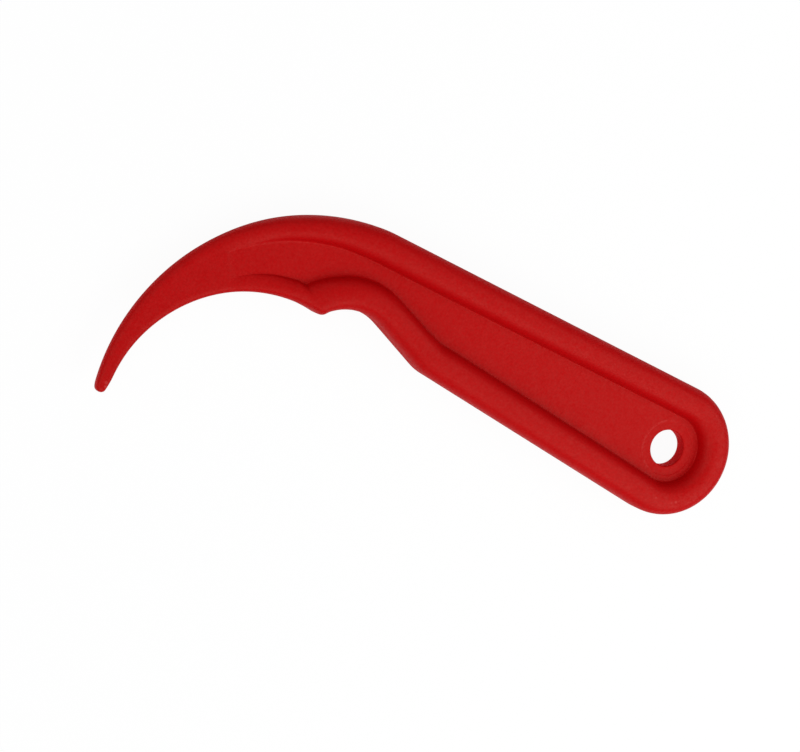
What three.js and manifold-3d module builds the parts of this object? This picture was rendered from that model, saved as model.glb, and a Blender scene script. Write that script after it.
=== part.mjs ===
// Hooked hand pick, one injection-moulded plastic body: a thin web with a raised rim on each side,
// ending in a flat hooked claw. Millimetres, +Z up. The tool lies flat: X runs along the handle with
// the hanging hole at +X and the claw at -X, and Z is the thickness. Z = 0 is the underside;
// the origin is below the middle of the bounding box.
// The body is worked out about its middle plane, in outline coordinates whose origin is the hole's axis.
import * as THREE from 'three';
import { ParametricGeometry } from 'three/addons/geometries/ParametricGeometry.js';
import { mergeVertices } from 'three/addons/utils/BufferGeometryUtils.js';
import Module from 'manifold-3d';

// ---- thicknesses, measured from the middle plane ----
const HALF_THICKNESS = 5.75;  // full crest of the rim; the tool is twice this thick
const WEB_HALF = 1.94;        // web between the rims
const TIP_HALF = 1.5;         // claw at its tip
const FACE_HALF = 2.06;       // claw at its root, where it stands a little above the web
const FACE_RISE_END = 35;     // back distance at which the claw reaches FACE_HALF
const FACE_RISE_POWER = 0.8;
const WALL_HALF = 1.45;       // upright part of the rim's outer wall
const TIP_WALL_HALF = 0.35;   // the same on the claw
const POCKET_STEP = { start: 47.4, end: 49.6 };  // back distances between which face steps to web

// ---- hanging hole, and the shallow round sinking about it on both faces ----
const HOLE_RADIUS = 9.2 / 2;
const HOLE_EDGE = 0.35;        // rounding of the hole's edge
const HOLE_EDGE_MIDDLE = { out: 0.1, down: HOLE_EDGE * 0.45 };  // point halfway round that edge
const SINK_RADIUS = 7;
const SINK_DEPTH = 0.1;
const SINK_STEP = 0.2;         // width of its sloping edge
const SINK_FLOOR = WEB_HALF - SINK_DEPTH;
const HOLE_OVERCUT = 2;        // how far the cutters run on past the surface
const SINK_OVERCUT = 0.4;
const TURNED_SEGMENTS = 48;

// ---- outline at the middle plane ----
// Tangent arcs and straight lines, clockwise from the claw's tip.
const OUTLINE_START = { x: -138.695, y: -52.94, heading: -2.6733 };  // heading in radians
// [name, length, signed radius]; a negative radius turns clockwise, 0 is a straight line.
const OUTLINE = [
  ['tip_end', 0.048, -7.352],
  ['tip_spine_corner', 1.892, -1.1857],
  ['tip_spine', 1.576, -7.208],
  ['spine_low', 17.141, -49.556],
  ['spine_mid', 48.755, -52.571],
  ['spine_high', 19.235, -58.668],
  ['shoulder', 4.71, -33.537],
  ['top_edge', 92.248, 0],
  ['butt', 54.113, -16.717],
  ['bottom_edge', 67.891, 0],
  ['corner', 3.276, -11.871],
  ['slope', 13.976, 0],
  ['finger_recess_a', 7.555, 13.706],
  ['finger_recess_b', 6.981, 13.525],
  ['tooth_root', 1.284, 4.748],
  ['tooth', 1.9, -1.806],
  ['tooth_flat', 1.343, 0],
  ['claw_inner_a', 43.018, 34.672],
  ['claw_inner_b', 13.218, 31.448],
  ['tip_belly', 3.876, -22.439],
  ['tip_belly_corner', 1.084, -1.1118],
  ['tip_end', 0.048, -7.352],
];

// ---- tables along the outline ----
// A back distance runs along the outline from the tip on the back (spine) side, a belly distance
// from the tip on the other side. They meet in the middle of the butt.
const BUTT_START = 185.61;  // back distance
const BACK_END = 212.66;
const BELLY_END = 192.51;

// Cross sections join these: [back distance, belly distance].
const PAIRS = [
  [0, 0], [2.15, 1.34], [3.55, 2.55], [6.15, 5.23], [10.15, 8.87], [14.15, 12.45],
  [20.65, 18.13], [24.15, 21.14], [29.15, 25.34], [34.15, 29.42], [39.15, 33.36],
  [44.15, 37.17], [49.15, 40.86], [54.15, 44.41], [59.15, 47.84], [64.15, 51.15],
  [69.15, 54.35], [74.15, 57.9], [79.15, 61.4], [84.15, 65.2], [88.65, 69.2], [93.35, 73.6],
  [100.85, 80.3], [115.1, 94.7], [BUTT_START, 165.45], [BACK_END, BELLY_END],
];

// Back rim: [back distance, width from the outline to the web or the claw's face].
const BACK_WIDTH = [
  [0, 1.07], [2.15, 1.08], [3.55, 1.28], [6.15, 1.62], [10.15, 1.98], [14.15, 2.25],
  [20.65, 2.45], [36, 2.6], [42, 2.9], [46, 3.6], [48.1, 4.0], [50, 4.2], [52, 4.45],
  [56, 5.15], [60, 5.5], [64, 5.85], [68, 6.2], [72, 6.5], [76, 6.85], [80, 7.2], [84, 7.65],
  [88, 8.0], [92, 8.2], [97, 8.28], [160, 8.3], [185, 8.35], [195, 8.5], [203, 8.65],
  [BACK_END, 8.7],
];
// [back distance, crest's distance from the outline]. On the claw, the reach of the rounded edge.
const BACK_CREST = [
  [0, 0.8], [2.15, 0.82], [3.55, 1.0], [6.15, 1.3], [10.15, 1.65], [14.15, 1.9], [20.65, 2.05],
  [49, 2.15], [54, 2.25], [60, 2.5], [68, 2.95], [76, 3.4], [84, 3.85], [92, 4.15], [97, 4.2],
  [BACK_END, 4.3],
];

// Belly rim's foot: widths on the claw, points round the tooth and the finger recess,
// and widths again on the handle.
const CLAW_WIDTHS_END = 54.3;      // belly distances between which the points take over
const HANDLE_WIDTHS_START = 84;
// [belly distance, width]
const BELLY_WIDTH_CLAW = [
  [0, 1.07], [1.34, 1.08], [2.55, 1.28], [5.23, 1.55], [8.87, 1.78], [12.45, 2.02],
  [18.13, 2.2], [25.34, 2.3], [33, 2.45], [37.17, 2.8], [40.3, 3.5], [42.3, 4.0], [46, 4.6],
  [50, 4.95], [CLAW_WIDTHS_END, 5.08],
];
// [belly distance, x, y]
const BELLY_FOOT = [
  [57.9, -109.7, -8.35], [60.6, -108.65, -8.35], [62.4, -107.45, -8.3], [63.3, -106.7, -7.3],
  [64.4, -105.5, -6.05], [65.77, -104.15, -4.8], [68.2, -101.95, -3.1], [70.6, -99.4, -1.5],
  [73.0, -96.4, -0.2], [75.2, -93.8, 0.42], [77.6, -90.95, 0.72], [80.3, -87.75, 0.5],
];
// [belly distance, width]
const BELLY_WIDTH_HANDLE = [
  [80.3, 7.95], [HANDLE_WIDTHS_START, 8.0], [88, 8.05], [92, 8.25], [96, 8.5], [102, 8.65],
  [160, 8.6], [170, 8.5], [180, 8.6], [BELLY_END, 8.7],
];
// [belly distance, crest's distance from the outline]
const BELLY_CREST = [
  [0, 0.8], [1.34, 0.82], [2.55, 1.0], [5.23, 1.25], [8.87, 1.5], [12.45, 1.75], [18, 1.85],
  [30, 1.9], [41, 2.0], [54, 2.1], [60, 2.5], [66, 3.1], [72, 3.5], [80, 3.8], [88, 4.0],
  [96, 4.2], [102, 4.25], [BELLY_END, 4.3],
];

// [back distance, share of the rise from the claw's flat edge (0) to the handle's full rim (1)]
const RIM_RISE = [
  [48.1, 0], [51.2, 0.055], [56.2, 0.175], [61.2, 0.305], [66.2, 0.435], [71.2, 0.565],
  [76.2, 0.685], [81.2, 0.795], [86.2, 0.895], [91.2, 0.96], [96.2, 0.99], [101.2, 1],
];

// Fullness of a rim's sides: 2 is an ellipse, less is hollower. The inner side eases off
// where the rims run out: [distance on its own side, power].
const OUTER_POWER = 2.4;
const INNER_POWER = 2.25;  // on the handle
const BACK_POWER = [[48, 1.65], [60, 1.7], [74, 1.95], [92, INNER_POWER]];
const BELLY_POWER = [[41, 1.75], [52, 1.85], [60, 2.1], [66, 2.45], [74, 2.4], [84, INNER_POWER]];
// Fillet where a rim meets the web: [distance on its own side, radius].
const BACK_FILLET = [[48, 1.8], [62, 1.3], [74, 0.7], [88, 0.3]];
const BELLY_FILLET = [
  [41, 0.3], [56, 0.3], [60, 0.4], [66, 0.65], [72, 0.9], [78, 0.8], [84, 0.4], [90, 0.3],
];

// ---- mesh layout ----
const OUTER_STEPS = 6;   // across a rim's outer side, inner side and fillet
const INNER_STEPS = 7;
const FILLET_STEPS = 3;
const BUTT_STEPS = 10;
// Back distances of the cross sections.
const STATIONS = [
  0, 0.45, 0.95, 1.5, 2.15, 3.0, 4.2, 6.2, 9, 12.5, 16.5, 20.65, 25, 29.5, 34, 38.5, 42, 45.5,
  POCKET_STEP.start, 48.5, POCKET_STEP.end, 52.5, 55.5, 58.5, 61.5, 64.5, 67.2, 69.5,
  71.3, 72.8, 74.2, 75.6, 77.0, 78.6, 80.4, 82.4, 84.6, 86.8, 89.0, 91.4, 94, 97.5, 101, 105.5,
  110, 115.1, 128, 145, 165, BUTT_START,
];
for (let i = 1; i <= BUTT_STEPS; i++) {
  STATIONS.push(BUTT_START + (BACK_END - BUTT_START) * (i / BUTT_STEPS));
}

// ---- outline ----
// Moves a distance along an arc, or along a straight line where the curvature is 0.
function advance({ x, y, heading, curvature }, distance) {
  const turned = heading + curvature * distance;
  if (curvature === 0) {
    return {
      x: x + distance * Math.cos(heading), y: y + distance * Math.sin(heading), heading: turned,
    };
  }
  return {
    x: x + (Math.sin(turned) - Math.sin(heading)) / curvature,
    y: y - (Math.cos(turned) - Math.cos(heading)) / curvature,
    heading: turned,
  };
}

function traceOutline() {
  const pieces = [];
  let place = OUTLINE_START;
  let length = 0;
  for (const [, pieceLength, radius] of OUTLINE) {
    const piece = { ...place, start: length, curvature: radius === 0 ? 0 : 1 / radius };
    pieces.push(piece);
    place = advance(piece, pieceLength);
    length += pieceLength;
  }
  // rounding left over where the outline closes
  const gap = { x: place.x - OUTLINE_START.x, y: place.y - OUTLINE_START.y };
  return { pieces, length, gap };
}
const outline = traceOutline();

// Point at a distance along the outline, with the unit normal that points into the tool.
// The closing gap is spread along the way.
function outlineAt(distance) {
  const along = Math.min(Math.max(distance, 0), outline.length);
  const piece = outline.pieces.findLast((candidate) => candidate.start <= along);
  const { x, y, heading } = advance(piece, along - piece.start);
  const share = along / outline.length;
  return {
    x: x - outline.gap.x * share,
    y: y - outline.gap.y * share,
    normalX: Math.sin(heading),
    normalY: -Math.cos(heading),
  };
}
const bellyEdgeAt = (distance) => outlineAt(outline.length - distance);

function inwardFrom(edge, width) {
  return [edge.x + width * edge.normalX, edge.y + width * edge.normalY];
}

// ---- interpolation ----
// Monotone cubic through a table's first column and the given one, held constant past its ends.
function curveThrough(rows, column = 1) {
  const xs = rows.map((row) => row[0]);
  const ys = rows.map((row) => row[column]);
  const last = rows.length - 1;
  const slopes = [];
  for (let i = 0; i < last; i++) slopes.push((ys[i + 1] - ys[i]) / (xs[i + 1] - xs[i]));
  const tangents = [slopes[0]];
  for (let i = 1; i < last; i++) {
    const before = xs[i] - xs[i - 1];
    const after = xs[i + 1] - xs[i];
    tangents.push(slopes[i - 1] * slopes[i] <= 0 ? 0 : (3 * (before + after))
      / ((2 * after + before) / slopes[i - 1] + (after + 2 * before) / slopes[i]));
  }
  tangents.push(slopes[last - 1]);
  return (x) => {
    if (x <= xs[0]) return ys[0];
    if (x >= xs[last]) return ys[last];
    let i = 0;
    while (xs[i + 1] < x) i++;
    const span = xs[i + 1] - xs[i];
    const t = (x - xs[i]) / span;
    const t2 = t * t;
    const t3 = t2 * t;
    return ys[i] * (2 * t3 - 3 * t2 + 1) + span * tangents[i] * (t3 - 2 * t2 + t)
      + ys[i + 1] * (3 * t2 - 2 * t3) + span * tangents[i + 1] * (t3 - t2);
  };
}

// Halves the range 40 times, moving up wherever goUp says so.
function bisect(low, high, goUp) {
  for (let i = 0; i < 40; i++) {
    const middle = (low + high) / 2;
    if (goUp(middle)) low = middle;
    else high = middle;
  }
  return (low + high) / 2;
}

const bellyDistanceAt = curveThrough(PAIRS);
const rimRiseAt = curveThrough(RIM_RISE);
const backWidthAt = curveThrough(BACK_WIDTH);
const clawWidthAt = curveThrough(BELLY_WIDTH_CLAW);
const handleWidthAt = curveThrough(BELLY_WIDTH_HANDLE);
const backCurves = {
  crestIn: curveThrough(BACK_CREST),
  power: curveThrough(BACK_POWER),
  fillet: curveThrough(BACK_FILLET),
};
const bellyCurves = {
  crestIn: curveThrough(BELLY_CREST),
  power: curveThrough(BELLY_POWER),
  fillet: curveThrough(BELLY_FILLET),
};

// The foot's points, led in and out by two points from the widths on either side.
const footFromWidth = (distance, widthAt) => (
  inwardFrom(bellyEdgeAt(distance), widthAt(distance)));
const footRows = [
  ...[50, CLAW_WIDTHS_END].map((distance) => [distance, ...footFromWidth(distance, clawWidthAt)]),
  ...BELLY_FOOT,
  ...[HANDLE_WIDTHS_START, 88].map((distance) => (
    [distance, ...footFromWidth(distance, handleWidthAt)])),
];
const footXAt = curveThrough(footRows, 1);
const footYAt = curveThrough(footRows, 2);

function bellyFootAt(distance) {
  if (distance <= CLAW_WIDTHS_END) return footFromWidth(distance, clawWidthAt);
  if (distance >= HANDLE_WIDTHS_START) return footFromWidth(distance, handleWidthAt);
  return [footXAt(distance), footYAt(distance)];
}

// ---- cross sections ----
// Heights above the middle plane at a back distance.
function heightsAt(back) {
  const face = TIP_HALF
    + (FACE_HALF - TIP_HALF) * Math.min(1, back / FACE_RISE_END) ** FACE_RISE_POWER;
  const step = THREE.MathUtils.smoothstep(back, POCKET_STEP.start, POCKET_STEP.end);
  const rise = rimRiseAt(back);
  return {
    floor: face + (WEB_HALF - face) * step,
    wall: TIP_WALL_HALF + (WALL_HALF - TIP_WALL_HALF) * rise,
    crest: face + (HALF_THICKNESS - face) * rise,
  };
}

function rimAt(distance, edge, foot, curves) {
  return {
    edge,
    foot,
    crestIn: curves.crestIn(distance),
    power: curves.power(distance),
    fillet: curves.fillet(distance),
  };
}

// [inward distance, height] rows of a rim's inner side: from the crest down a superellipse,
// then a fillet that ends on the floor at the rim's full width.
function innerSide(width, { crestIn, power, fillet }, floor, rise) {
  const radius = Math.min(fillet, 2 * rise);
  const pointAt = (reach, angle) => {
    const across = Math.sin(angle) ** (2 / power);
    const up = Math.cos(angle) ** (2 / power);
    const gradientX = across ** (power - 1) / reach;
    const gradientZ = up ** (power - 1) / rise;
    const size = Math.hypot(gradientX, gradientZ);
    return {
      inward: crestIn + reach * across,
      z: floor + rise * up,
      normalX: gradientX / size,
      normalZ: gradientZ / size,
    };
  };
  // angle at which the fillet takes over
  const leaveAngle = (reach) => bisect(0, Math.PI / 2, (angle) => {
    const point = pointAt(reach, angle);
    return point.z + radius * point.normalZ > floor + radius;
  });
  // superellipse's reach for which the fillet ends at the full width
  const room = width - crestIn;
  const reach = bisect(0.2 * room, room, (trial) => {
    const point = pointAt(trial, leaveAngle(trial));
    return point.inward + radius * point.normalX < width;
  });
  const endAngle = leaveAngle(reach);
  const end = pointAt(reach, endAngle);
  const filletAngle = Math.atan2(end.normalX, end.normalZ);

  const rows = [];
  for (let i = 1; i <= INNER_STEPS; i++) {
    const point = pointAt(reach, endAngle * (i / INNER_STEPS));
    rows.push([point.inward, point.z]);
  }
  for (let i = 1; i < FILLET_STEPS; i++) {
    const angle = filletAngle * (1 - i / FILLET_STEPS);
    rows.push([width - radius * Math.sin(angle), floor + radius - radius * Math.cos(angle)]);
  }
  rows.push([width, floor]);
  return rows;
}

// Upper half of a rim, from the outline inwards: upright wall, outer side, inner side, fillet.
// Where the crest is no higher than the floor it is a rounded edge and a flat.
function rimProfile(width, rim, { floor, wall, crest }) {
  const { crestIn } = rim;
  const rows = [[0, 0], [0, wall]];
  for (let i = 1; i <= OUTER_STEPS; i++) {
    const angle = Math.PI / 2 - (Math.PI / 2) * (i / OUTER_STEPS);
    rows.push([
      crestIn - crestIn * Math.sin(angle) ** (2 / OUTER_POWER),
      wall + (crest - wall) * Math.cos(angle) ** (2 / OUTER_POWER),
    ]);
  }
  const rise = crest - floor;
  if (rise >= 1e-3) return [...rows, ...innerSide(width, rim, floor, rise)];
  const flatSteps = INNER_STEPS + FILLET_STEPS;
  for (let i = 1; i <= flatSteps; i++) {
    rows.push([crestIn + ((width - crestIn) * i) / flatSteps, floor]);
  }
  return rows;
}

// The rim's profile stood up along the line from its edge to its foot.
function rimPoints(rim, heights) {
  const { edge, foot } = rim;
  const dx = foot[0] - edge.x;
  const dy = foot[1] - edge.y;
  const width = Math.hypot(dx, dy);
  return rimProfile(width, rim, heights).map(([inward, z]) => (
    [edge.x + (dx * inward) / width, edge.y + (dy * inward) / width, z]));
}

// Once round the section: middle of the upper face, back rim, underneath, belly rim, middle again.
function sectionRing(back) {
  const heights = heightsAt(back);
  const bellyDistance = bellyDistanceAt(back);
  const backEdge = outlineAt(back);
  const backRim = rimAt(back, backEdge, inwardFrom(backEdge, backWidthAt(back)), backCurves);
  // the first and last sections fold shut, so both their rims are the same
  const closed = back === 0 || back === BACK_END;
  const bellyRim = closed ? backRim : rimAt(
    bellyDistance, bellyEdgeAt(bellyDistance), bellyFootAt(bellyDistance), bellyCurves);

  const backSide = rimPoints(backRim, heights);
  const bellySide = rimPoints(bellyRim, heights);
  const middle = [
    (backRim.foot[0] + bellyRim.foot[0]) / 2,
    (backRim.foot[1] + bellyRim.foot[1]) / 2,
    heights.floor,
  ];
  const flip = ([x, y, z]) => [x, y, -z];
  return [
    middle, ...backSide.toReversed(), ...backSide.slice(1).map(flip),
    flip(middle), ...bellySide.slice(1).reverse().map(flip), ...bellySide, middle,
  ];
}

function bodySkin() {
  const rings = STATIONS.map(sectionRing);
  const lengthSteps = rings.length - 1;
  const roundSteps = rings[0].length - 1;
  return new ParametricGeometry((u, v, target) => {
    target.set(...rings[Math.round(u * lengthSteps)][Math.round(v * roundSteps)]);
  }, lengthSteps, roundSteps);
}

// ---- solids ----
const wasm = await Module();
wasm.setup();

// Welds a closed geometry, drops its collapsed triangles and turns it outside out if need be.
function solid(geometry) {
  geometry.deleteAttribute('normal');
  geometry.deleteAttribute('uv');
  const merged = mergeVertices(geometry, 1e-5);
  const index = merged.index.array;
  const triangles = [];
  for (let i = 0; i < index.length; i += 3) {
    const [a, b, c] = index.slice(i, i + 3);
    if (a !== b && b !== c && c !== a) triangles.push([a, b, c]);
  }
  const build = (faces) => new wasm.Manifold(new wasm.Mesh({
    numProp: 3,
    vertProperties: new Float32Array(merged.attributes.position.array),
    triVerts: new Uint32Array(faces.flat()),
  }));
  const result = build(triangles);
  return result.volume() < 0 ? build(triangles.map(([a, b, c]) => [b, a, c])) : result;
}

// Solid turned about the hole's axis from [radius, z] rows that start and end on it.
function turnedSolid(profile) {
  const points = profile.map(([radius, z]) => new THREE.Vector2(radius, z));
  return solid(new THREE.LatheGeometry(points, TURNED_SEGMENTS).rotateX(Math.PI / 2));
}
const mirrored = (profile) => profile.map(([radius, z]) => [radius, -z]).reverse();

function sinkProfile() {
  const top = WEB_HALF + (SINK_OVERCUT * SINK_DEPTH) / SINK_STEP;
  return [
    [0, SINK_FLOOR], [SINK_RADIUS - SINK_STEP, SINK_FLOOR],
    [SINK_RADIUS + SINK_OVERCUT, top], [0, top],
  ];
}

function holeProfile() {
  const mouth = HOLE_RADIUS + HOLE_EDGE;
  const upper = [
    [HOLE_RADIUS, SINK_FLOOR - HOLE_EDGE],
    [HOLE_RADIUS + HOLE_EDGE_MIDDLE.out, SINK_FLOOR - HOLE_EDGE_MIDDLE.down],
    [mouth, SINK_FLOOR],
    [mouth + HOLE_OVERCUT, SINK_FLOOR + HOLE_OVERCUT],
    [0, SINK_FLOOR + HOLE_OVERCUT],
  ];
  return [...mirrored(upper), ...upper];
}

function bodyGeometry() {
  const mesh = solid(bodySkin())
    .subtract(turnedSolid(sinkProfile()))
    .subtract(turnedSolid(mirrored(sinkProfile())))
    .subtract(turnedSolid(holeProfile()))
    .getMesh();
  const geometry = new THREE.BufferGeometry();
  geometry.setAttribute('position', new THREE.BufferAttribute(mesh.vertProperties, 3));
  geometry.setIndex(new THREE.BufferAttribute(mesh.triVerts, 1));
  geometry.computeVertexNormals();
  geometry.computeBoundingBox();
  return geometry;
}

// ---- the part ----
const redPlastic = new THREE.MeshStandardMaterial({
  color: 0xb01916, roughness: 0.55, metalness: 0,
});

function makeTool() {
  const tool = new THREE.Mesh(bodyGeometry(), redPlastic);
  tool.name = 'tool_body';
  const { min, max } = tool.geometry.boundingBox;
  tool.position.set(-(min.x + max.x) / 2, -(min.y + max.y) / 2, -min.z);
  return tool;
}

const part = new THREE.Group();
part.add(makeTool());
export default part;
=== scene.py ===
"""A one-piece moulded hook pick in satin red plastic, lying flat on white paper.

The moulding is drawn in mm with the hanging hole's axis at x = y = 0 and its middle plane at z = 0.
The handle runs along x with its butt at +x and the claw at -x. The back is the +y side, the belly
the -y side. A raised rim follows the outline round a thin web; both faces are alike.
Materials, lights and camera work in metres.
"""
import math

import bpy
import numpy as np
from mathutils import Matrix, Vector, geometry


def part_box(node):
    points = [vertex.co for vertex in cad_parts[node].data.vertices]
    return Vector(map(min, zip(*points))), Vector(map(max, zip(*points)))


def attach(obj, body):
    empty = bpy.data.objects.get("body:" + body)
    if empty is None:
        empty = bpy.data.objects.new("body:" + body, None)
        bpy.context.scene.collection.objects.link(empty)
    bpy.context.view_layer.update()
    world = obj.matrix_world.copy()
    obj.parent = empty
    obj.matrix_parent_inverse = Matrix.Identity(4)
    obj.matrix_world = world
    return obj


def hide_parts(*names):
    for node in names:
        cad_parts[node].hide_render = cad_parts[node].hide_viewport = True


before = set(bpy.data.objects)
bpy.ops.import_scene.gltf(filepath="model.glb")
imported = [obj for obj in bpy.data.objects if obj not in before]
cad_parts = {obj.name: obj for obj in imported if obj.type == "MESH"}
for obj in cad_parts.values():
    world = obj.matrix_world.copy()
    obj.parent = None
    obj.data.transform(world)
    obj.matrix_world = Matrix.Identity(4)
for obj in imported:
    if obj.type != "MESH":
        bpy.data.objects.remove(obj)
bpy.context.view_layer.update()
BODY_LOW, BODY_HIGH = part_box("tool_body")

# ------------------------------------------------------------------ dimensions, mm
# Heights are measured from the middle plane.
HALF_THICKNESS = 5.75
WEB_HALF = 1.94
TIP_HALF = 1.5              # the claw's flat face at the tip
FACE_HALF = 2.06            # and where its thickening ends
FACE_RISE_LENGTH = 35.0
FACE_RISE_POWER = 0.8
WALL_HALF = 1.45            # upright wall at the outline, on the handle
TIP_WALL_HALF = 0.35        # and at the claw
POCKET_STEP = (47.4, 49.6)  # along the back: the claw's face steps down to the web
INNER_POWER = 2.25          # superellipse powers of the rim's two sides
OUTER_POWER = 2.4

HOLE_R = 4.6
HOLE_EDGE = 0.35            # rounding of the hole's edge
HOLE_DRAFT = 0.04           # the bore narrows this much towards the middle plane
SINK_R = 7.0                # shallow sinking round the hole
SINK_DEPTH = 0.1
SINK_STEP = 0.2
SINK_LEAD = 0.04            # its step starts this far outside SINK_R

# The outline starts at the claw's tip and runs along the back, round the butt and back along the
# belly. Start: x, y, heading in radians. Rows: length, radius (negative turns right, 0 is straight).
OUTLINE_START = (-138.695, -52.94, -2.6733)
OUTLINE = [
    (0.048, -7.352), (1.892, -1.1857), (1.576, -7.208), (17.141, -49.556), (48.755, -52.571),
    (19.235, -58.668), (4.71, -33.537), (92.248, 0), (54.113, -16.717), (67.891, 0),
    (3.276, -11.871), (13.976, 0), (7.555, 13.706), (6.981, 13.525), (1.284, 4.748),
    (1.9, -1.806), (1.343, 0), (43.018, 34.672), (13.218, 31.448), (3.876, -22.439),
    (1.084, -1.1118), (0.048, -7.352),
]

# In every table below the first column is the distance from the tip, along the back or the belly.
# Cross-sections join these places: along the back, along the belly.
PAIRS = [
    (0, 0), (2.15, 1.34), (3.55, 2.55), (6.15, 5.23), (10.15, 8.87), (14.15, 12.45),
    (20.65, 18.13), (24.15, 21.14), (29.15, 25.34), (34.15, 29.42), (39.15, 33.36),
    (44.15, 37.17), (49.15, 40.86), (54.15, 44.41), (59.15, 47.84), (64.15, 51.15),
    (69.15, 54.35), (74.15, 57.9), (79.15, 61.4), (84.15, 65.2), (88.65, 69.2), (93.35, 73.6),
    (100.85, 80.3), (115.1, 94.7), (185.61, 165.45), (212.66, 192.51),
]
BUTT_START = PAIRS[-2][0]
BACK_END = PAIRS[-1][0]

# Rim width, from the outline inward to the rim's foot.
BACK_WIDTH = [
    (0, 1.07), (2.15, 1.08), (3.55, 1.28), (6.15, 1.62), (10.15, 1.98), (14.15, 2.25),
    (20.65, 2.45), (36, 2.6), (42, 2.9), (46, 3.6), (48.1, 4.0), (50, 4.2), (52, 4.45),
    (56, 5.15), (60, 5.5), (64, 5.85), (68, 6.2), (72, 6.5), (76, 6.85), (80, 7.2), (84, 7.65),
    (88, 8.0), (92, 8.2), (97, 8.28), (160, 8.3), (185, 8.35), (195, 8.5), (203, 8.65),
    (212.66, 8.7),
]
BELLY_WIDTH_CLAW = [
    (0, 1.07), (1.34, 1.08), (2.55, 1.28), (5.23, 1.55), (8.87, 1.78), (12.45, 2.02),
    (18.13, 2.2), (25.34, 2.3), (33, 2.45), (37.17, 2.8), (40.3, 3.5), (42.3, 4.0), (46, 4.6),
    (50, 4.95), (54.3, 5.08),
]
BELLY_WIDTH_HANDLE = [
    (80.3, 7.95), (84, 8.0), (88, 8.05), (92, 8.25), (96, 8.5), (102, 8.65), (160, 8.6),
    (170, 8.5), (180, 8.6), (192.51, 8.7),
]
# Between claw and handle the belly rim's foot is placed directly: distance, x, y.
BELLY_FOOT = [
    (57.9, -109.7, -8.35), (60.6, -108.65, -8.35), (62.4, -107.45, -8.3), (63.3, -106.7, -7.3),
    (64.4, -105.5, -6.05), (65.77, -104.15, -4.8), (68.2, -101.95, -3.1), (70.6, -99.4, -1.5),
    (73.0, -96.4, -0.2), (75.2, -93.8, 0.42), (77.6, -90.95, 0.72), (80.3, -87.75, 0.5),
]
CLAW_END = BELLY_WIDTH_CLAW[-1][0]
HANDLE_START = 84

# Distance of the rim's crest inward from the outline.
BACK_CREST = [
    (0, 0.8), (2.15, 0.82), (3.55, 1.0), (6.15, 1.3), (10.15, 1.65), (14.15, 1.9), (20.65, 2.05),
    (49, 2.15), (54, 2.25), (60, 2.5), (68, 2.95), (76, 3.4), (84, 3.85), (92, 4.15), (97, 4.2),
    (212.66, 4.3),
]
BELLY_CREST = [
    (0, 0.8), (1.34, 0.82), (2.55, 1.0), (5.23, 1.25), (8.87, 1.5), (12.45, 1.75), (18, 1.85),
    (30, 1.9), (41, 2.0), (54, 2.1), (60, 2.5), (66, 3.1), (72, 3.5), (80, 3.8), (88, 4.0),
    (96, 4.2), (102, 4.25), (192.51, 4.3),
]
# Share of the rim's full height, by distance along the back.
CREST_RISE = [
    (48.1, 0), (51.2, 0.055), (56.2, 0.175), (61.2, 0.305), (66.2, 0.435), (71.2, 0.565),
    (76.2, 0.685), (81.2, 0.795), (86.2, 0.895), (91.2, 0.96), (96.2, 0.99), (101.2, 1),
]
# Superellipse power of the rim's inner side, and radius of the fillet at its foot.
BACK_POWER = [(48, 1.65), (60, 1.7), (74, 1.95), (92, INNER_POWER)]
BELLY_POWER = [(41, 1.75), (52, 1.85), (60, 2.1), (66, 2.45), (74, 2.4), (84, INNER_POWER)]
BACK_FILLET = [(48, 1.8), (62, 1.3), (74, 0.7), (88, 0.3)]
BELLY_FILLET = [
    (41, 0.3), (56, 0.3), (60, 0.4), (66, 0.65), (72, 0.9), (78, 0.8), (84, 0.4), (90, 0.3),
]

# ------------------------------------------------------------------ mesh fineness
# Spacing of the sections along the back: used up to this distance, step.
SECTION_STEPS = [
    (3, 0.14), (12, 0.45), (46.8, 0.9), (50.2, 0.2), (68, 0.6), (92, 0.28), (118, 0.7),
    (BUTT_START, 2.2),
]
BUTT_SECTIONS = 56
WALL_STEPS, OUTER_STEPS, INNER_STEPS, FILLET_STEPS = 3, 14, 19, 6
HOLE_FROM = 170.0   # along the back: from here to the butt the web is one flat face
FLOOR_STRIPS = 10   # strips across the web and the claw's face
RING_R = 7.6        # outermost ring of vertices round the hole
RING_SEGMENTS = 144
EDGE_STEPS = 6      # steps of the sinking's edge and of the hole's rounding


# ------------------------------------------------------------------ curves
class Outline:
    """Tangent arcs and lines, with the small closing error spread evenly along them."""

    def __init__(self, start, rows):
        x, y, heading = start
        distance = 0.0
        self.pieces = []
        for length, radius in rows:
            bend = 0.0 if radius == 0 else 1.0 / radius
            self.pieces.append((x, y, heading, distance, bend))
            x, y, heading = self.advance(x, y, heading, bend, length)
            distance += length
        self.total = distance
        self.gap = (x - start[0], y - start[1])

    @staticmethod
    def advance(x, y, heading, bend, length):
        if bend == 0:
            return x + length * math.cos(heading), y + length * math.sin(heading), heading
        turned = heading + bend * length
        return (x + (math.sin(turned) - math.sin(heading)) / bend,
                y - (math.cos(turned) - math.cos(heading)) / bend, turned)

    def at(self, distance):
        """Point x, y and the unit normal x, y that points into the tool."""
        distance = min(max(distance, 0.0), self.total)
        x, y, heading, start, bend = next(
            (piece for piece in reversed(self.pieces) if piece[3] <= distance), self.pieces[0])
        x, y, heading = self.advance(x, y, heading, bend, distance - start)
        share = distance / self.total
        return (x - self.gap[0] * share, y - self.gap[1] * share,
                math.sin(heading), -math.cos(heading))


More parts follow.
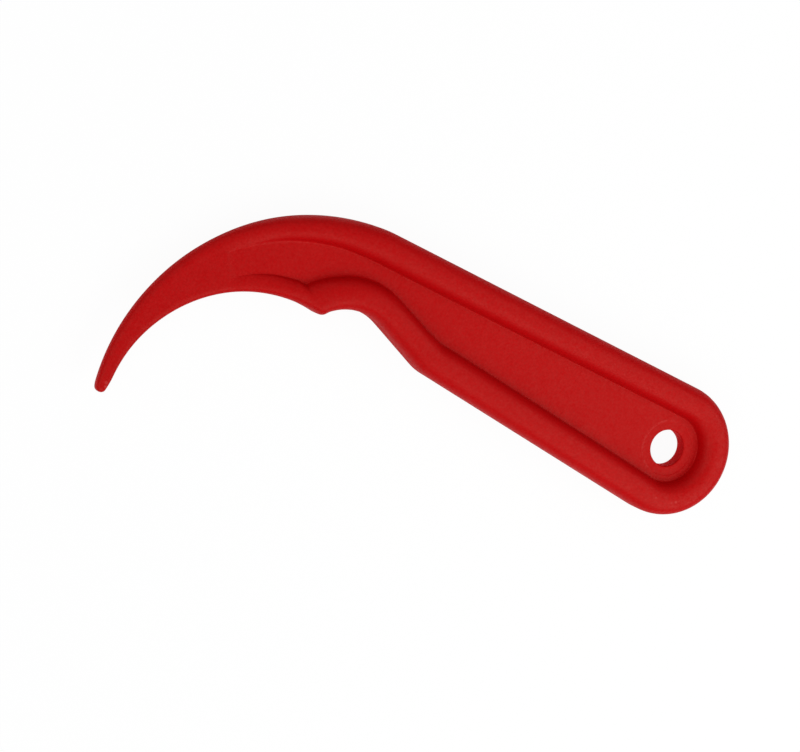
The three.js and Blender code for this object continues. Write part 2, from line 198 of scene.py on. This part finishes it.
def smooth(rows, column=1):
    """Cubic through a table's points that never overshoots them, level beyond its ends."""
    x = np.array([row[0] for row in rows], float)
    y = np.array([row[column] for row in rows], float)
    gap = np.diff(x)
    rise = np.diff(y) / gap
    slope = np.zeros_like(y)
    slope[0], slope[-1] = rise[0], rise[-1]
    for i in range(1, len(x) - 1):
        if rise[i - 1] * rise[i] > 0:
            slope[i] = 3 * (gap[i - 1] + gap[i]) / (
                (2 * gap[i] + gap[i - 1]) / rise[i - 1] + (gap[i] + 2 * gap[i - 1]) / rise[i])

    def value(at):
        if at <= x[0]:
            return float(y[0])
        if at >= x[-1]:
            return float(y[-1])
        i = int(np.searchsorted(x, at, side="right")) - 1
        t = (at - x[i]) / gap[i]
        t2, t3 = t * t, t * t * t
        return float(y[i] * (2 * t3 - 3 * t2 + 1) + gap[i] * slope[i] * (t3 - 2 * t2 + t)
                     + y[i + 1] * (3 * t2 - 2 * t3) + gap[i] * slope[i + 1] * (t3 - t2))

    return value


def clamp(value):
    return min(max(value, 0.0), 1.0)


def ease(t):
    return t * t * (3 - 2 * t)


def bisect(low, high, too_low):
    for _ in range(40):
        middle = (low + high) / 2
        if too_low(middle):
            low = middle
        else:
            high = middle
    return (low + high) / 2


outline = Outline(OUTLINE_START, OUTLINE)
belly_at = smooth(PAIRS)
crest_rise = smooth(CREST_RISE)
back_width, back_crest = smooth(BACK_WIDTH), smooth(BACK_CREST)
back_power, back_fillet = smooth(BACK_POWER), smooth(BACK_FILLET)
belly_width_claw, belly_width_handle = smooth(BELLY_WIDTH_CLAW), smooth(BELLY_WIDTH_HANDLE)
belly_crest, belly_power, belly_fillet = map(smooth, (BELLY_CREST, BELLY_POWER, BELLY_FILLET))


def inward(place, width):
    """The point this far inside a place given by Outline.at."""
    x, y, normal_x, normal_y = place
    return x + width * normal_x, y + width * normal_y


def belly_foot_from_width(belly):
    width = belly_width_claw if belly <= CLAW_END else belly_width_handle
    return inward(outline.at(outline.total - belly), width(belly))


# The placed feet are led in and out by two points of the offset outline at each end.
foot_rows = [(q, *belly_foot_from_width(q)) for q in (50, CLAW_END)]
foot_rows += BELLY_FOOT
foot_rows += [(q, *belly_foot_from_width(q)) for q in (HANDLE_START, 88)]
foot_x, foot_y = smooth(foot_rows, 1), smooth(foot_rows, 2)


def belly_foot(belly):
    if CLAW_END < belly < HANDLE_START:
        return foot_x(belly), foot_y(belly)
    return belly_foot_from_width(belly)


# ------------------------------------------------------------------ cross-sections
def crown(width, crest_in, power, fillet, floor, wall, crest):
    """Half section of a rim from the outline to its foot, as (inward distance, height) rows."""
    rows = [(0.0, wall * i / WALL_STEPS) for i in range(WALL_STEPS + 1)]
    for i in range(1, OUTER_STEPS + 1):
        angle = -math.pi / 2 + (math.pi / 2) * (i / OUTER_STEPS)
        rows.append((
            crest_in - crest_in * abs(math.sin(angle)) ** (2 / OUTER_POWER),
            wall + (crest - wall) * max(math.cos(angle), 0.0) ** (2 / OUTER_POWER)))
    rise = crest - floor
    if rise < 1e-3:
        # on the claw the rim runs level into the face
        steps = INNER_STEPS + FILLET_STEPS
        rows += [(crest_in + (width - crest_in) * i / steps, floor) for i in range(1, steps + 1)]
        return rows
    fillet = min(fillet, 2.0 * rise)

    def inner_side(reach, angle):
        """Distance, height and outward normal on a superellipse this long."""
        across = math.sin(angle) ** (2 / power)
        up = max(math.cos(angle), 0.0) ** (2 / power)
        normal_in, normal_up = across ** (power - 1) / reach, up ** (power - 1) / rise
        size = math.hypot(normal_in, normal_up)
        return crest_in + reach * across, floor + rise * up, normal_in / size, normal_up / size

    def leaving_angle(reach):
        """Where a fillet resting on the floor touches the inner side."""
        def above(angle):
            _, height, _, normal_up = inner_side(reach, angle)
            return height + fillet * normal_up > floor + fillet
        return bisect(0.0, math.pi / 2, above)

    def too_short(reach):
        distance, _, normal_in, _ = inner_side(reach, leaving_angle(reach))
        return distance + fillet * normal_in < width

    reach = bisect(0.2 * (width - crest_in), width - crest_in, too_short)
    end = leaving_angle(reach)
    rows += [inner_side(reach, end * i / INNER_STEPS)[:2] for i in range(1, INNER_STEPS + 1)]
    _, _, normal_in, normal_up = inner_side(reach, end)
    tilt = math.atan2(normal_in, normal_up)
    for i in range(1, FILLET_STEPS):
        angle = tilt * (1 - i / FILLET_STEPS)
        rows.append((width - fillet * math.sin(angle), floor + fillet - fillet * math.cos(angle)))
    rows.append((width, floor))
    return rows


def rubbed_and_glinting(back, distance, height, crest):
    """How much the rim is painted paler, partly for rubbing and partly as painted highlight: a glint
    line along the butt's outer shoulder, the crests and a glint at the claw's tip.
    """
    butt = clamp((back - 186.0) / 10.0)
    shoulder = math.exp(-((distance - 2.6) / 0.38) ** 2) * (0.12 + 0.88 * butt)
    top = 0.42 * math.exp(-((crest - height) / 0.14) ** 2) if crest > 4.0 else 0.0
    tip = 0.7 * clamp((5.0 - back) / 4.0)
    return max(shoulder, top, tip)


def section(back, at_end):
    """Back and belly rims as lines of (x, y, height, share of rubbing and painted glint) from
    outline to foot, and floor height.
    """
    belly = belly_at(back)
    face = TIP_HALF + (FACE_HALF - TIP_HALF) * min(1.0, back / FACE_RISE_LENGTH) ** FACE_RISE_POWER
    step_start, step_end = POCKET_STEP
    floor = face + (WEB_HALF - face) * ease(clamp((back - step_start) / (step_end - step_start)))
    share = crest_rise(back)
    wall = TIP_WALL_HALF + (WALL_HALF - TIP_WALL_HALF) * share
    crest = face + (HALF_THICKNESS - face) * share
    back_place = outline.at(back)
    sides = [
        (back_place, inward(back_place, back_width(back)),
         back_crest(back), back_power(back), back_fillet(back)),
        (outline.at(outline.total - belly), belly_foot(belly),
         belly_crest(belly), belly_power(belly), belly_fillet(belly)),
    ]
    if at_end:
        # back and belly meet at the tip and at the butt
        sides[1] = sides[0]
    lines = []
    for edge, foot, crest_in, power, fillet in sides:
        dx, dy = foot[0] - edge[0], foot[1] - edge[1]
        width = math.hypot(dx, dy)
        lines.append([
            (edge[0] + dx * d / width, edge[1] + dy * d / width, z, rubbed_and_glinting(back, d, z, crest))
            for d, z in crown(width, crest_in, power, fillet, floor, wall, crest)])
    return lines, floor


def section_places():
    """Distances along the back from the tip to the middle of the butt."""
    places = [0.0]
    while places[-1] < BUTT_START - 1e-6:
        step = next(step for end, step in SECTION_STEPS if places[-1] < end)
        places.append(min(places[-1] + step, BUTT_START))
    places += [BUTT_START + (BACK_END - BUTT_START) * i / BUTT_SECTIONS
               for i in range(1, BUTT_SECTIONS + 1)]
    return places


# ------------------------------------------------------------------ skin of the moulding
class Skin:
    """Vertices, shared where they coincide, and faces; side is 1 for the +z face, -1 for the -z."""

    def __init__(self):
        self.side = 1
        self.verts, self.faces, self.rub_and_glint = [], [], []
        self.index = {}

    def vertex(self, x, y, height, rub_and_glint=0.0):
        point = (x, y, self.side * height)
        key = tuple(round(c, 5) for c in point)
        if key not in self.index:
            self.index[key] = len(self.verts)
            self.verts.append(point)
            self.rub_and_glint.append(rub_and_glint)
        return self.index[key]

    def face(self, corners):
        """Corners in the winding of the +z side; repeated ones are merged."""
        if self.side < 0:
            corners = reversed(corners)
        corners = list(dict.fromkeys(corners))
        if len(corners) >= 3:
            self.faces.append(corners)


def add_rims(skin, sections):
    """Returns, for each section, the vertices of the back line and the belly line."""
    ids = [[[skin.vertex(*point) for point in line] for line in lines] for lines, _ in sections]
    for (back0, belly0), (back1, belly1) in zip(ids, ids[1:]):
        for j in range(len(back0) - 1):
            skin.face((back0[j + 1], back1[j + 1], back1[j], back0[j]))
            skin.face((belly0[j], belly1[j], belly1[j + 1], belly0[j + 1]))
    return ids


def add_floor(skin, sections, ids):
    """Strips between the rims' feet; returns the last line across."""
    previous = None
    for ((back, belly), floor), (back_ids, belly_ids) in zip(sections, ids):
        (x0, y0), (x1, y1) = back[-1][:2], belly[-1][:2]
        line = [back_ids[-1]]
        for i in range(1, FLOOR_STRIPS):
            t = i / FLOOR_STRIPS
            line.append(skin.vertex(x0 + (x1 - x0) * t, y0 + (y1 - y0) * t, floor))
        line.append(belly_ids[-1])
        if previous:
            for i in range(FLOOR_STRIPS):
                skin.face((previous[i + 1], line[i + 1], line[i], previous[i]))
        previous = line
    return previous


def hole_profile():
    """(radius, height) rows: web, the sinking's step and flat, rounded edge, bore."""
    top = WEB_HALF - SINK_DEPTH
    rows = [(RING_R, WEB_HALF)]
    for i in range(EDGE_STEPS + 1):
        t = i / EDGE_STEPS
        radius = SINK_R + SINK_LEAD - (SINK_STEP + SINK_LEAD) * t
        rows.append((radius, WEB_HALF - SINK_DEPTH * ease(t)))
    rows += [(SINK_R - SINK_STEP - 0.1, top), (HOLE_R + HOLE_EDGE + 0.3, top)]
    for i in range(EDGE_STEPS + 1):
        angle = (math.pi / 2) * i / EDGE_STEPS
        rows.append((HOLE_R + HOLE_EDGE - HOLE_EDGE * math.sin(angle),
                     top - HOLE_EDGE + HOLE_EDGE * math.cos(angle)))
    rows += [(HOLE_R - HOLE_DRAFT * t, (top - HOLE_EDGE) * (1 - t)) for t in (0.35, 0.7, 1.0)]
    return rows


def add_hole(skin):
    """Rings round the hole down to the middle plane; returns the outermost."""
    rings = []
    for radius, height in hole_profile():
        angles = [2 * math.pi * i / RING_SEGMENTS for i in range(RING_SEGMENTS)]
        rings.append([skin.vertex(radius * math.cos(a), radius * math.sin(a), height)
                      for a in angles])
    for outer, inner in zip(rings, rings[1:]):
        for i in range(RING_SEGMENTS):
            j = (i + 1) % RING_SEGMENTS
            skin.face((outer[i], outer[j], inner[j], inner[i]))
    return rings[0]


def inside(point, polygon):
    result = False
    for (x0, y0), (x1, y1) in zip(polygon[-1:] + polygon[:-1], polygon):
        if (y1 > point[1]) != (y0 > point[1]):
            if point[0] < (x0 - x1) * (point[1] - y1) / (y0 - y1) + x1:
                result = not result
    return result


def add_flat_face(skin, loop, ring):
    """Triangles between a loop of web vertices and the outermost ring round the hole."""
    def closed(start, count):
        return [(start + i, start + (i + 1) % count) for i in range(count)]

    ids = loop + ring
    flat = [Vector(skin.verts[v][:2]) for v in ids]
    edges = closed(0, len(loop)) + closed(len(loop), len(ring))
    points, _, triangles, origins, _, _ = geometry.delaunay_2d_cdt(flat, edges, [], 1, 1e-6)
    ids_out = [ids[origin[0]] if origin else None for origin in origins]
    border = [skin.verts[v][:2] for v in loop]
    for triangle in triangles:
        middle = sum((points[i] for i in triangle), Vector((0, 0))) / len(triangle)
        if middle.length < RING_R - 0.01:
            continue
        corners = [ids_out[i] for i in triangle]
        if None in corners:
            raise RuntimeError("the web's flat face gained a stray point")
        if not inside(middle, border):
            continue
        (x1, y1), (x2, y2), (x3, y3) = (skin.verts[v][:2] for v in corners)
        if (x2 - x1) * (y3 - y1) - (x3 - x1) * (y2 - y1) <= 0:
            corners.reverse()
        skin.face(corners)


def build_skin():
    places = section_places()
    last = len(places) - 1
    sections = [section(place, i in (0, last)) for i, place in enumerate(places)]
    hole_from = next(i for i, place in enumerate(places) if place >= HOLE_FROM)
    skin = Skin()
    for side in (1, -1):
        skin.side = side
        ids = add_rims(skin, sections)
        loop = add_floor(skin, sections[:hole_from + 1], ids)
        ring = add_hole(skin)
        loop += [belly[-1] for _, belly in ids[hole_from + 1:]]
        loop += [back[-1] for back, _ in ids[last - 1:hole_from:-1]]
        add_flat_face(skin, loop, ring)
    return skin


skin = build_skin()
# the middle of the moulding's box goes on the middle of the CAD piece's box
points = np.array(skin.verts, float)
cad_middle = (np.array(BODY_LOW) + np.array(BODY_HIGH)) * 500
shift = cad_middle - (points.min(0) + points.max(0)) / 2
HOLE = Vector(shift / 1000)   # the hole's axis at the middle plane

mesh = bpy.data.meshes.new("tool_moulding")
mesh.from_pydata(((points + shift) / 1000.0).tolist(), [], skin.faces)
# per-vertex share of rubbing and painted glint on the rims
mesh.attributes.new("rub_and_glint", "FLOAT", "POINT").data.foreach_set("value", skin.rub_and_glint)
mesh.validate()
mesh.update()
tool = bpy.data.objects.new("tool_moulding", mesh)
bpy.context.scene.collection.objects.link(tool)
mesh.shade_smooth()


# ------------------------------------------------------------------ shader helpers
class Shader:
    """Adds nodes to a tree; an input is fed a number, a colour, a vector or another's output."""

    def __init__(self, tree):
        self.tree = tree
        self.coords = self.node("ShaderNodeTexCoord").outputs

    def fill(self, node, inputs):
        for key, value in inputs.items():
            socket = node.inputs[key]
            if isinstance(value, bpy.types.NodeSocket):
                self.tree.links.new(value, socket)
            elif socket.type == "RGBA":
                socket.default_value = (*value, 1)
            else:
                socket.default_value = value

    def node(self, kind, inputs={}, **settings):
        node = self.tree.nodes.new(kind)
        for name, value in settings.items():
            setattr(node, name, value)
        self.fill(node, inputs)
        return node

    def math(self, operation, a, b=0.0):
        return self.node("ShaderNodeMath", {0: a, 1: b}, operation=operation).outputs[0]

    def vector(self, operation, a, b):
        return self.node("ShaderNodeVectorMath", {0: a, 1: b}, operation=operation)

    def mix(self, share, a, b):
        return self.node("ShaderNodeMix", {0: share, 6: a, 7: b}, data_type="RGBA").outputs[2]

    def noise(self, scale, detail=2.0, roughness=0.5):
        inputs = {"Scale": scale, "Detail": detail, "Roughness": roughness,
                  "Vector": self.coords["Object"]}
        return self.node("ShaderNodeTexNoise", inputs).outputs["Fac"]

    def ramp(self, value, stops):
        """Colour ramp through (position, colour) stops."""
        node = self.node("ShaderNodeValToRGB", {0: value})
        elements = node.color_ramp.elements
        for element, (position, color) in zip(elements, (stops[0], stops[-1])):
            element.position, element.color = position, (*color, 1)
        for position, color in stops[1:-1]:
            elements.new(position).color = (*color, 1)
        return node.outputs[0]

    def fade(self, value, full, none, level=1.0):
        """The level where the value is at full or past it, 0 at none, smooth between."""
        inputs = {"From Min": full, "From Max": none, "To Min": level, "To Max": 0.0,
                  "Value": value}
        return self.node("ShaderNodeMapRange", inputs, interpolation_type="SMOOTHSTEP").outputs[0]

    def away(self, point, flat=False):
        """Distance from a point in mm from the hole's axis at the middle plane; flat ignores z."""
        offset = self.vector("SUBTRACT", self.coords["Object"],
                             HOLE + Vector(point) / 1000.0).outputs[0]
        if flat:
            offset = self.vector("MULTIPLY", offset, (1, 1, 0)).outputs[0]
        length = self.node("ShaderNodeVectorMath", {0: offset}, operation="LENGTH")
        return length.outputs["Value"]


# ------------------------------------------------------------------ satin red plastic
# Painted glints: small paler, shinier spots on the +z face: mm from the hole's axis at the middle
# plane, and size in mm.
GLINT_SPOTS = [
    ((4.45, 12.98, 5.2), 0.42), ((6.2, -11.6, 5.3), 0.5), ((7.2, -10.9, 5.4), 0.5),
    ((7.9, -10.3, 5.4), 0.35), ((1.5, -12.35, 5.5), 0.35),
    ((-139.04, -50.42, 1.5), 0.45), ((-138.75, -51.3, 1.45), 0.4),
]
RIM_WEAR_AND_GLINT, RING_SCUFF_AND_GLINT = 0.45, 0.55          # strongest wear and painted highlight on the rim and round the hole
SCUFF_AND_GLINT_RING_R = 0.00695                    # metres
SCUFF_AND_GLINT_SPOT = (-6.5, -0.5, 1.9)            # mm; the ring is scuffed and painted paler, as highlight on its step, only near here
PIGMENT = [(0.3, (0.448, 0.0012, 0.0026)), (0.7, (0.472, 0.0018, 0.0032))]
FLECK = (0.423, 0.0008, 0.0020)
# paler colours: rubbed places that partly carry painted highlight, and the painted glint spots
WORN_AND_GLINT, PAINTED_GLINT_COLOR = (0.60, 0.055, 0.050), (0.64, 0.060, 0.055)
ROUGHNESS = [(0.3, (0.40,) * 3), (0.7, (0.46,) * 3)]
RUBBED_ROUGHNESS = (0.33,) * 3
PEBBLE_MOTTLE, PATCH_MOTTLE = 2.2, 0.55   # how strongly each noise varies the sheen
MOTTLE_MEAN = (PEBBLE_MOTTLE + PATCH_MOTTLE) / 2
SHEEN, SHEEN_FLOOR = 0.118, 0.2           # average specular level, and its least share


def plastic_wear_and_glints(shader):
    """Rubbed rims broken up by noise and a scuffed arc round the hole's sinking; both are partly
    painted highlight, a glint line on the rims and light on the sinking's step.
    """
    calc, fade, noise = shader.math, shader.fade, shader.noise
    rub_and_glint = shader.node("ShaderNodeAttribute", attribute_name="rub_and_glint").outputs["Fac"]
    patch = fade(noise(scale=900.0, detail=3.0, roughness=0.7), full=0.66, none=0.42)
    rim = calc("MULTIPLY", calc("MULTIPLY", rub_and_glint, patch), RIM_WEAR_AND_GLINT)
    # the arc is scuffs plus painted highlight where the sinking's step catches the light
    off_ring = calc("SUBTRACT", shader.away((0, 0, 0), flat=True), SCUFF_AND_GLINT_RING_R)
    ring = calc("MULTIPLY", fade(calc("ABSOLUTE", off_ring), full=0.00012, none=0.00042),
                fade(noise(scale=1100.0, roughness=0.6), full=0.60, none=0.44))
    ring = calc("MULTIPLY", ring, fade(shader.away(SCUFF_AND_GLINT_SPOT), full=0.0065, none=0.0105))
    return calc("MAXIMUM", rim, calc("MULTIPLY", ring, RING_SCUFF_AND_GLINT))


def plastic_glints(shader):
    # painted glints: paler, shinier spots where the rims catch the light
    glint = 0.0
    for spot, size in GLINT_SPOTS:
        near = shader.fade(shader.away(spot), full=size * 0.3e-3, none=size * 1.3e-3)
        glint = shader.math("MAXIMUM", glint, near)
    return glint


def plastic():
    material = bpy.data.materials.new("red_satin_plastic")
    material.use_nodes = True
    tree = material.node_tree
    tree.nodes.clear()
    shader = Shader(tree)
    calc, mix, noise = shader.math, shader.mix, shader.noise
    wear_and_glint, glint = plastic_wear_and_glints(shader), plastic_glints(shader)

    # pigment with slow flow marks, a fine fleck, paler rubbed places that are partly painted
    # highlight, and painted glint spots
    color = shader.ramp(noise(scale=38.0, detail=3.0), PIGMENT)
    fleck = shader.fade(noise(scale=1700.0, roughness=0.6), full=0.68, none=0.32)
    color = mix(fleck, color, FLECK)
    # paler where rubbed, and where highlight is painted on the rims and the sinking's step
    color = mix(calc("MULTIPLY", wear_and_glint, 0.20), color, WORN_AND_GLINT)
    # paler still on the painted glint spots
    color = mix(calc("MULTIPLY", glint, 0.35), color, PAINTED_GLINT_COLOR)

    # fine moulded texture, less rough where it is rubbed and at the painted glints
    grain = noise(scale=4200.0, roughness=0.65)
    pebble = noise(scale=1900.0, detail=3.0, roughness=0.6)
    height = calc("ADD", calc("MULTIPLY", grain, 0.4), calc("MULTIPLY", pebble, 0.9))
    bump = shader.node("ShaderNodeBump", {"Strength": 0.8, "Distance": 0.00004, "Height": height})
    polish = calc("MAXIMUM", calc("MULTIPLY", wear_and_glint, 0.6), calc("MULTIPLY", glint, 0.8))
    roughness = shader.ramp(noise(scale=220.0, detail=3.0), ROUGHNESS)

    # fine pebbles and slow patches catch more or less of the sheen
    mottle = calc("ADD", calc("MULTIPLY", pebble, PEBBLE_MOTTLE),
                  calc("MULTIPLY", noise(scale=420.0, roughness=0.6), PATCH_MOTTLE))
    mottle = calc("ADD", calc("SUBTRACT", mottle, MOTTLE_MEAN), 1.0)
    sheen = calc("MULTIPLY", calc("MAXIMUM", mottle, SHEEN_FLOOR), SHEEN)
    shine = calc("ADD", calc("MULTIPLY", wear_and_glint, 0.10), calc("MULTIPLY", glint, 0.16))

    surface = shader.node("ShaderNodeBsdfPrincipled", {
        "Base Color": color,
        "Normal": bump.outputs[0],
        "Roughness": mix(polish, roughness, RUBBED_ROUGHNESS),
        "IOR": 1.45,
        "Specular Tint": (1.0, 1.0, 0.8),
        "Specular IOR Level": calc("ADD", shine, sheen),
    })
    shader.node("ShaderNodeOutputMaterial", {0: surface.outputs[0]})
    return material


red_plastic = plastic()
mesh.materials.append(red_plastic)
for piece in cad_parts.values():
    piece.data.materials.clear()
    piece.data.materials.append(red_plastic)

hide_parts("tool_body")
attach(tool, "root")

# ------------------------------------------------------------------ paper floor
PAPER_LIFT = 0.95                # share of plain white the camera sees
PAPER = (0.93, 0.93, 0.93)       # to the camera
TABLE_TONE_RED_BOUNCE = (0.93, 0.5, 0.5)    # to all other rays: paper with painted red bounce light from the tool
HOLE_GLOW = 1.1                  # light from the paper under the hole
GLOW_COLOR = (1.0, 0.10, 0.12)
FLOOR_Z = -0.0002
FLOOR_HALF = 6.0


def floor_paper():
    """White to the camera; to the tool a duller sheet tinted with painted red bounce light, that
    glows a little under the hole.
    """
    material = bpy.data.materials.new("floor_paper")
    material.use_nodes = True
    nodes = material.node_tree.nodes
    shader = Shader(material.node_tree)
    to_camera = shader.node("ShaderNodeLightPath").outputs["Is Camera Ray"]
    gap = shader.vector("DISTANCE", shader.coords["Object"], (HOLE[0], HOLE[1], FLOOR_Z))
    glow = shader.fade(gap.outputs["Value"], full=0.0045, none=0.0065, level=HOLE_GLOW)
    paper = nodes["Principled BSDF"]
    shader.fill(paper, {
        "Base Color": shader.mix(to_camera, TABLE_TONE_RED_BOUNCE, PAPER),
        "Roughness": 0.9,
        "Specular IOR Level": 0.1,
        "Emission Color": GLOW_COLOR,
        "Emission Strength": shader.math("MULTIPLY", shader.math("SUBTRACT", 1.0, to_camera), glow),
    })
    white = shader.node("ShaderNodeEmission", {"Color": (1, 1, 1), "Strength": 1.0})
    lift = shader.math("MULTIPLY", to_camera, PAPER_LIFT)
    mixed = shader.node("ShaderNodeMixShader", {0: lift, 1: paper.outputs[0], 2: white.outputs[0]})
    shader.fill(nodes["Material Output"], {0: mixed.outputs[0]})
    return material


floor_mesh = bpy.data.meshes.new("floor")
floor_corners = [(x * FLOOR_HALF, y * FLOOR_HALF, FLOOR_Z)
                 for x, y in ((-1, -1), (1, -1), (1, 1), (-1, 1))]
floor_mesh.from_pydata(floor_corners, [], [(0, 1, 2, 3)])
floor_object = bpy.data.objects.new("floor", floor_mesh)
floor_mesh.materials.append(floor_paper())
bpy.context.scene.collection.objects.link(floor_object)

# ------------------------------------------------------------------ light
# Broad lobes of sky: azimuth in degrees, [(sine of elevation, radiance)].
LOBES = [
    # strong, from the belly side
    (246.0, [(0.0, 0.05), (0.21, 0.20), (0.50, 1.33), (0.81, 1.78), (0.95, 1.60), (1.0, 1.0)]),
    # weak, from the back side
    (128.0, [(0.0, 0.16), (0.21, 0.30), (0.55, 0.50), (0.81, 0.62), (0.95, 0.46), (1.0, 0.2)]),
]


def sky():
    """The lobes light the tool; the camera itself sees white."""
    world = bpy.data.worlds.new("world")
    bpy.context.scene.world = world
    world.use_nodes = True
    shader = Shader(world.node_tree)
    calc = shader.math
    axes = shader.node("ShaderNodeSeparateXYZ", {0: shader.coords["Generated"]}).outputs
    height = calc("MAXIMUM", axes["Z"], 0.0)
    level_squared = calc("SUBTRACT", 1.0, calc("MULTIPLY", height, height))
    level = calc("MAXIMUM", calc("SQRT", calc("MAXIMUM", level_squared, 0.0)), 0.02)
    total = 0.0
    for azimuth, rows in LOBES:
        peak = max(radiance for _, radiance in rows)
        stops = [(sine, (radiance / peak,) * 3) for sine, radiance in rows]
        grey = shader.node("ShaderNodeRGBToBW", {0: shader.ramp(height, stops)}).outputs[0]
        angle = math.radians(azimuth)
        along = calc("ADD", calc("MULTIPLY", axes["X"], math.cos(angle)),
                     calc("MULTIPLY", axes["Y"], math.sin(angle)))
        along = calc("DIVIDE", along, level)
        facing = calc("MAXIMUM", calc("MULTIPLY", calc("ADD", along, 1.0), 0.5), 0.0)
        lobe = calc("MULTIPLY", calc("MULTIPLY", grey, peak), calc("MULTIPLY", facing, facing))
        total = calc("ADD", total, lobe)
    to_camera = shader.node("ShaderNodeLightPath").outputs["Is Camera Ray"]
    unseen = calc("MULTIPLY", total, calc("SUBTRACT", 1.0, to_camera))
    shader.fill(world.node_tree.nodes["Background"],
                {"Strength": calc("ADD", unseen, to_camera), "Color": (1, 1, 1)})


def area_light(name, azimuth, elevation, distance, size, radiance):
    """A rectangle aimed at the origin; angles in degrees."""
    light = bpy.data.lights.new(name, "AREA")
    light.shape = "RECTANGLE"
    light.size, light.size_y = size
    light.energy = math.pi * size[0] * size[1] * radiance
    lamp = bpy.data.objects.new(name, light)
    a, b = math.radians(azimuth), math.radians(elevation)
    toward = Vector((math.cos(b) * math.cos(a), math.cos(b) * math.sin(a), math.sin(b)))
    lamp.location = toward * distance
    lamp.rotation_euler = toward.to_track_quat("Z", "Y").to_euler()
    bpy.context.scene.collection.objects.link(lamp)


sky()
# a big soft box beyond the butt
area_light("side_box", azimuth=0.0, elevation=43.0, distance=0.66, size=(1.02, 0.48), radiance=1.98)

# ------------------------------------------------------------------ camera
CAMERA_FROM_HOLE = (-0.373883, -0.037819, 0.637966)
CAMERA_AXES = (   # its right, up and backward directions
    (0.791737, 0.471254, 0.38868),
    (-0.437812, 0.881484, -0.176935),
    (-0.425996, -0.030083, 0.904225),
)
CAMERA_SETTINGS = {
    "sensor_width": 36.0, "lens": 132.71,        # mm
    "shift_x": -0.000425, "shift_y": 0.000975,   # shares of the picture's width
    "clip_start": 0.01, "clip_end": 50,
}
camera_data = bpy.data.cameras.new("camera")
camera = bpy.data.objects.new("camera", camera_data)
bpy.context.scene.collection.objects.link(camera)
for setting, value in CAMERA_SETTINGS.items():
    setattr(camera_data, setting, value)
pose = Matrix(CAMERA_AXES).transposed().to_4x4()
pose.translation = HOLE + Vector(CAMERA_FROM_HOLE)
camera.matrix_world = pose
bpy.context.scene.camera = camera

view = bpy.context.scene.view_settings
view.view_transform = "Standard"
view.look = "None"
view.exposure = 0.0
view.gamma = 1.0
